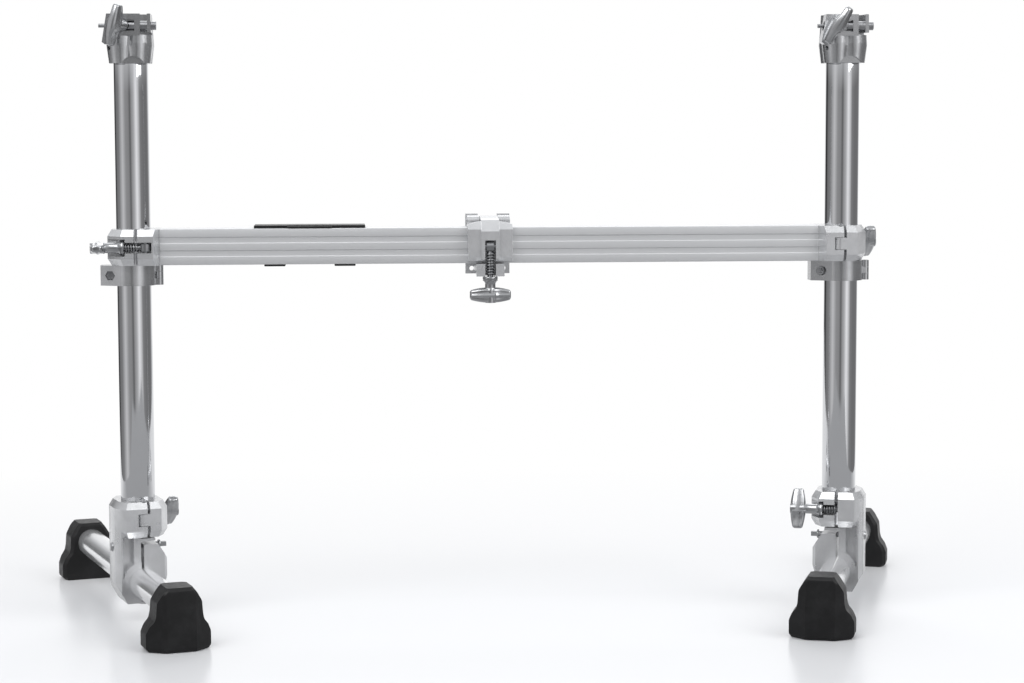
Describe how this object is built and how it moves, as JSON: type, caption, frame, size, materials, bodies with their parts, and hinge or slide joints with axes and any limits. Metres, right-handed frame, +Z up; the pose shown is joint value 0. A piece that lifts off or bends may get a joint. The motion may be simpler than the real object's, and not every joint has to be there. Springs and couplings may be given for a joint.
{
  "type": "drum rack frame",
  "caption": "Front frame of a drum rack: two round posts, a grooved square crossbar in hinged clamps, stop collars, toed-in legs with rubber feet and tube clamps on top.",
  "frame": {"origin": "on the floor, midway between the posts and centred from the front feet to the rear feet", "axes": "+X along the crossbar to the right as seen from the front, +Y to the back where the player sits, +Z up"},
  "size_m": [1.0392, 0.4826, 0.6883],
  "materials": {
    "chrome_tube": "polished chrome plate on steel tube",
    "extruded_bar": "satin anodised",
    "die_cast": "satin plated die casting",
    "chrome_cast": "bright plated casting",
    "steel": "zinc plated",
    "black_rubber": "matt moulded",
    "black_plastic": "fine grain"
  },
  "bodies": {
    "crossbar": {"crossbar": "extruded_bar", "cover_plate": "black_plastic", "bar_clamp_left": "die_cast", "bar_clamp_right": "die_cast", "bar_clamp_pins": "steel", "bar_end_screws": "steel"},
    "bar_jaw_left": {"bar_jaw_left": "die_cast"},
    "bar_bolt_left": {"bar_bolt_left": "steel", "bar_spring_left": "steel"},
    "bar_washer_left": {"bar_washer_left": "chrome_cast"},
    "bar_nut_left": {"bar_wing_nut_left": "chrome_cast"},
    "collar_left": {"collar_front_left": "die_cast", "collar_rear_left": "die_cast", "collar_hardware_left": "steel"},
    "post_left": {"post_left": "chrome_tube"},
    "cap_left": {"cap_left": "die_cast", "cap_barrel_left": "steel"},
    "cap_screw_left": {"cap_wing_bolt_left": "chrome_cast"},
    "leg_clamp_left": {"leg_clamp_left": "die_cast", "leg_hinge_pin_left": "steel", "leg_stud_left": "steel", "leg_spring_left": "steel", "key_bolt_left": "steel"},
    "leg_jaw_left": {"leg_jaw_left": "die_cast"},
    "leg_washer_left": {"leg_washer_left": "chrome_cast"},
    "leg_nut_left": {"leg_wing_nut_left": "chrome_cast"},
    "leg_left": {"leg_tube_left": "chrome_tube", "foot_front_left": "black_rubber", "foot_rear_left": "black_rubber"},
    "bar_jaw_right": {"bar_jaw_right": "die_cast"},
    "bar_bolt_right": {"bar_bolt_right": "steel", "bar_spring_right": "steel"},
    "bar_washer_right": {"bar_washer_right": "chrome_cast"},
    "bar_nut_right": {"bar_wing_nut_right": "chrome_cast"},
    "collar_right": {"collar_front_right": "die_cast", "collar_rear_right": "die_cast", "collar_hardware_right": "steel"},
    "post_right": {"post_right": "chrome_tube"},
    "cap_right": {"cap_right": "die_cast", "cap_barrel_right": "steel"},
    "cap_screw_right": {"cap_wing_bolt_right": "chrome_cast"},
    "leg_clamp_right": {"leg_clamp_right": "die_cast", "leg_hinge_pin_right": "steel", "leg_stud_right": "steel", "leg_spring_right": "steel", "key_bolt_right": "steel"},
    "leg_jaw_right": {"leg_jaw_right": "die_cast"},
    "leg_washer_right": {"leg_washer_right": "chrome_cast"},
    "leg_nut_right": {"leg_wing_nut_right": "chrome_cast"},
    "leg_right": {"leg_tube_right": "chrome_tube", "foot_front_right": "black_rubber", "foot_rear_right": "black_rubber"},
    "centre_body": {"centre_body": "die_cast", "centre_hinge_pin": "steel"},
    "centre_jaw": {"centre_jaw": "die_cast", "centre_pivot_pin": "steel"},
    "centre_bolt": {"centre_bolt": "steel", "centre_spring": "steel"},
    "centre_washer": {"centre_washer": "chrome_cast"},
    "centre_nut": {"centre_wing_nut": "chrome_cast"}
  },
  "joints": [
    {"name": "bar_nut_turn_left", "type": "hinge", "parent": "bar_washer_left", "child": "bar_nut_left", "pos_m": [-0.4085, -0.07664, 0.421], "axis": [-1, 0, 0], "range_deg": [0, 990]},
    {"name": "bar_washer_slide_left", "type": "slide", "parent": "bar_bolt_left", "child": "bar_washer_left", "axis": [-1, 0, 0], "range_m": [0, 0.00349]},
    {"name": "bar_bolt_swing_left", "type": "hinge", "parent": "crossbar", "child": "bar_bolt_left", "pos_m": [-0.385, -0.07664, 0.421], "axis": [0, 0, 1], "range_deg": [0, 95]},
    {"name": "bar_jaw_open_left", "type": "hinge", "parent": "crossbar", "child": "bar_jaw_left", "pos_m": [-0.3935, -0.02254, 0.421], "axis": [0, 0, -1], "range_deg": [0, 3.01]},
    {"name": "collar_swivel_left", "type": "hinge", "parent": "crossbar", "child": "collar_left", "pos_m": [-0.4, -0.04959, 0.38945], "axis": [0, 0, 1], "continuous": true},
    {"name": "post_slide_left", "type": "slide", "parent": "collar_left", "child": "post_left", "axis": [0, 0, 1], "range_m": [-0.17, 0.23]},
    {"name": "cap_turn_left", "type": "hinge", "parent": "post_left", "child": "cap_left", "pos_m": [-0.4, -0.04959, 0.64], "axis": [0, 0, 1], "continuous": true},
    {"name": "cap_screw_turn_left", "type": "hinge", "parent": "cap_left", "child": "cap_screw_left", "pos_m": [-0.4, -0.06909, 0.665], "axis": [-0.5, -0.866, 0], "continuous": true},
    {"name": "leg_clamp_swivel_left", "type": "hinge", "parent": "post_left", "child": "leg_clamp_left", "pos_m": [-0.4, -0.04959, 0.117], "axis": [0, 0, 1], "continuous": true},
    {"name": "leg_nut_turn_left", "type": "hinge", "parent": "leg_washer_left", "child": "leg_nut_left", "pos_m": [-0.39383, -0.01929, 0.117], "axis": [0.9537, 0.3007, 0], "range_deg": [0, 990]},
    {"name": "leg_washer_slide_left", "type": "slide", "parent": "leg_clamp_left", "child": "leg_washer_left", "axis": [0.9537, 0.3007, 0], "range_m": [0, 0.00349]},
    {"name": "leg_jaw_open_left", "type": "hinge", "parent": "leg_clamp_left", "child": "leg_jaw_left", "pos_m": [-0.39187, -0.07539, 0.117], "axis": [0, 0, -1], "range_deg": [0, 3.01]},
    {"name": "leg_slide_left", "type": "slide", "parent": "leg_clamp_left", "child": "leg_left", "axis": [0.3007, -0.9537, 0], "range_m": [-0.12, 0.22]},
    {"name": "bar_nut_turn_right", "type": "hinge", "parent": "bar_washer_right", "child": "bar_nut_right", "pos_m": [0.4085, -0.02254, 0.421], "axis": [1, 0, 0], "range_deg": [0, 990]},
    {"name": "bar_washer_slide_right", "type": "slide", "parent": "bar_bolt_right", "child": "bar_washer_right", "axis": [1, 0, 0], "range_m": [0, 0.00349]},
    {"name": "bar_bolt_swing_right", "type": "hinge", "parent": "crossbar", "child": "bar_bolt_right", "pos_m": [0.385, -0.02254, 0.421], "axis": [0, 0, 1], "range_deg": [0, 95]},
    {"name": "bar_jaw_open_right", "type": "hinge", "parent": "crossbar", "child": "bar_jaw_right", "pos_m": [0.3935, -0.07664, 0.421], "axis": [0, 0, -1], "range_deg": [0, 3.01]},
    {"name": "collar_swivel_right", "type": "hinge", "parent": "crossbar", "child": "collar_right", "pos_m": [0.4, -0.04959, 0.38945], "axis": [0, 0, 1], "continuous": true},
    {"name": "post_slide_right", "type": "slide", "parent": "collar_right", "child": "post_right", "axis": [0, 0, 1], "range_m": [-0.17, 0.23]},
    {"name": "cap_turn_right", "type": "hinge", "parent": "post_right", "child": "cap_right", "pos_m": [0.4, -0.04959, 0.64], "axis": [0, 0, 1], "continuous": true},
    {"name": "cap_screw_turn_right", "type": "hinge", "parent": "cap_right", "child": "cap_screw_right", "pos_m": [0.4, -0.06909, 0.665], "axis": [-0.5, -0.866, 0], "continuous": true},
    {"name": "leg_clamp_swivel_right", "type": "hinge", "parent": "post_right", "child": "leg_clamp_right", "pos_m": [0.4, -0.04959, 0.117], "axis": [0, 0, 1], "continuous": true},
    {"name": "leg_nut_turn_right", "type": "hinge", "parent": "leg_washer_right", "child": "leg_nut_right", "pos_m": [0.37756, -0.07088, 0.117], "axis": [-0.9537, 0.3007, 0], "range_deg": [0, 990]},
    {"name": "leg_washer_slide_right", "type": "slide", "parent": "leg_clamp_right", "child": "leg_washer_right", "axis": [-0.9537, 0.3007, 0], "range_m": [0, 0.00349]},
    {"name": "leg_jaw_open_right", "type": "hinge", "parent": "leg_clamp_right", "child": "leg_jaw_right", "pos_m": [0.40813, -0.0238, 0.117], "axis": [0, 0, -1], "range_deg": [0, 3.01]},
    {"name": "leg_slide_right", "type": "slide", "parent": "leg_clamp_right", "child": "leg_right", "axis": [-0.3007, -0.9537, 0], "range_m": [-0.12, 0.22]},
    {"name": "centre_slide", "type": "slide", "parent": "crossbar", "child": "centre_body", "axis": [1, 0, 0], "range_m": [-0.11, 0.33]},
    {"name": "centre_jaw_open", "type": "hinge", "parent": "centre_body", "child": "centre_jaw", "pos_m": [-0.003, -0.04539, 0.4476], "axis": [-1, 0, 0], "range_deg": [0, 3.01]},
    {"name": "centre_bolt_swing", "type": "hinge", "parent": "centre_jaw", "child": "centre_bolt", "pos_m": [-0.003, -0.07659, 0.42], "axis": [-1, 0, 0], "range_deg": [0, 95]},
    {"name": "centre_washer_slide", "type": "slide", "parent": "centre_bolt", "child": "centre_washer", "axis": [0, 0, -1], "range_m": [0, 0.0036]},
    {"name": "centre_nut_turn", "type": "hinge", "parent": "centre_washer", "child": "centre_nut", "pos_m": [-0.003, -0.07659, 0.386], "axis": [0, 0, -1], "range_deg": [0, 990]}
  ],
  "couplings": [
    {"joint": "bar_washer_slide_left", "follows": "bar_nut_turn_left", "m_per_rad": 0.00019894},
    {"joint": "bar_jaw_open_left", "follows": "bar_nut_turn_left", "ratio": 0.0030303},
    {"joint": "leg_washer_slide_left", "follows": "leg_nut_turn_left", "m_per_rad": 0.00019894},
    {"joint": "leg_jaw_open_left", "follows": "leg_nut_turn_left", "ratio": 0.0030303},
    {"joint": "bar_washer_slide_right", "follows": "bar_nut_turn_right", "m_per_rad": 0.00019894},
    {"joint": "bar_jaw_open_right", "follows": "bar_nut_turn_right", "ratio": 0.0030303},
    {"joint": "leg_washer_slide_right", "follows": "leg_nut_turn_right", "m_per_rad": 0.00019894},
    {"joint": "leg_jaw_open_right", "follows": "leg_nut_turn_right", "ratio": 0.0030303},
    {"joint": "post_slide_right", "follows": "post_slide_left", "ratio": 1},
    {"joint": "centre_washer_slide", "follows": "centre_nut_turn", "m_per_rad": 0.00019894},
    {"joint": "centre_jaw_open", "follows": "centre_nut_turn", "ratio": 0.0030303}
  ]
}
